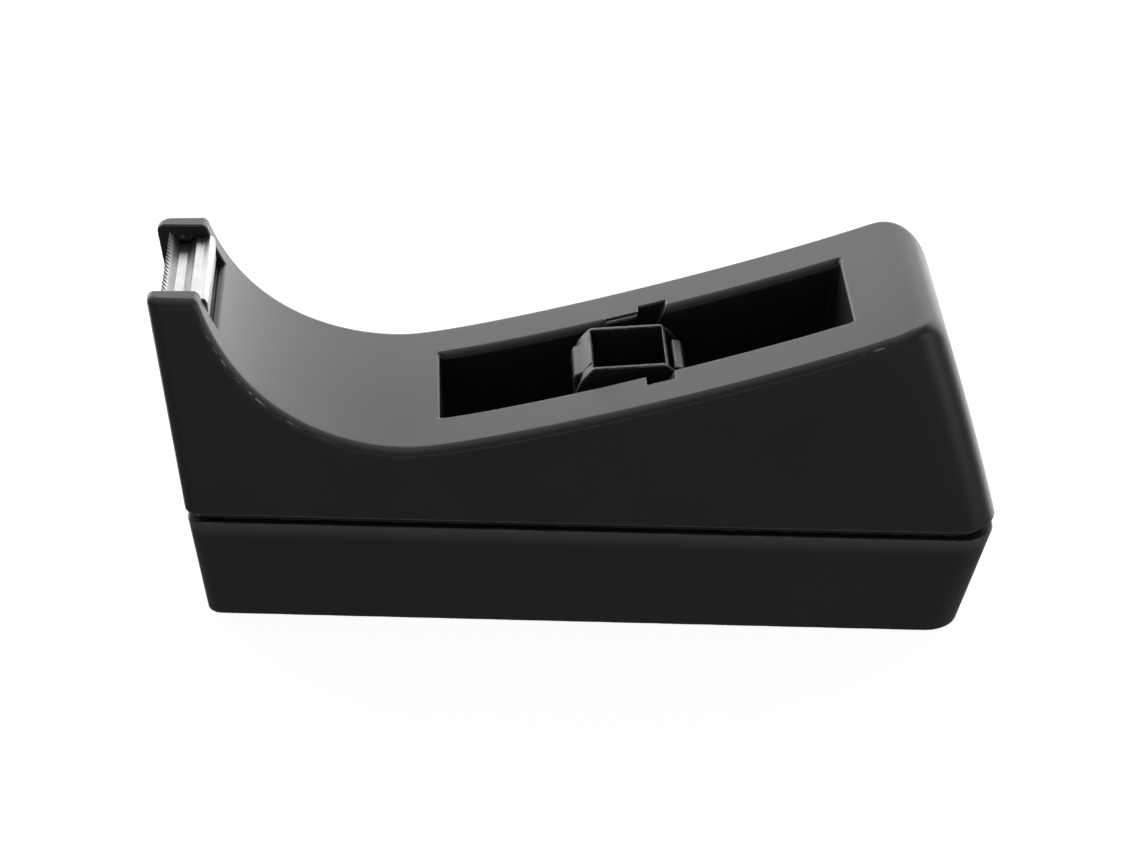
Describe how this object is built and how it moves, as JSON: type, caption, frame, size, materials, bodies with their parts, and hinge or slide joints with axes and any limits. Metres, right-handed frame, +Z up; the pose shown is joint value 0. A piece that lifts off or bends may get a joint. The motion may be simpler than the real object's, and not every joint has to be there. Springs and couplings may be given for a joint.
{
  "type": "tape dispenser",
  "caption": "Weighted desktop tape dispenser: black two-part plastic housing with a finger scoop, open roll well, spinning core hub, serrated steel cutter and non-slip pad.",
  "frame": {"origin": "centre of the footprint, on the surface the non-slip pad rests on", "axes": "+X to the tall rear end, away from the cutter; +Y along the hub's axis; +Z up"},
  "size_m": [0.177, 0.0638, 0.075],
  "materials": {
    "black_abs": "satin moulded black",
    "hub_plastic": "satin moulded black",
    "blade_steel": "bright pressed sheet",
    "cast_fill": "rough cast",
    "foam_rubber": "fine-celled foam",
    "screw_steel": "zinc plated"
  },
  "bodies": {
    "body": {"upper_housing": "black_abs", "base_tray": "black_abs", "cutter_blade": "blade_steel", "ballast_block": "cast_fill", "non_slip_pad": "foam_rubber", "screw_front_left": "screw_steel", "screw_front_right": "screw_steel", "screw_rear_left": "screw_steel", "screw_rear_right": "screw_steel"},
    "hub": {"tape_hub": "hub_plastic"}
  },
  "joints": [
    {"name": "hub_spin", "type": "hinge", "parent": "body", "child": "hub", "pos_m": [0.01165, 0, 0.0443], "axis": [0, 1, 0], "continuous": true}
  ]
}
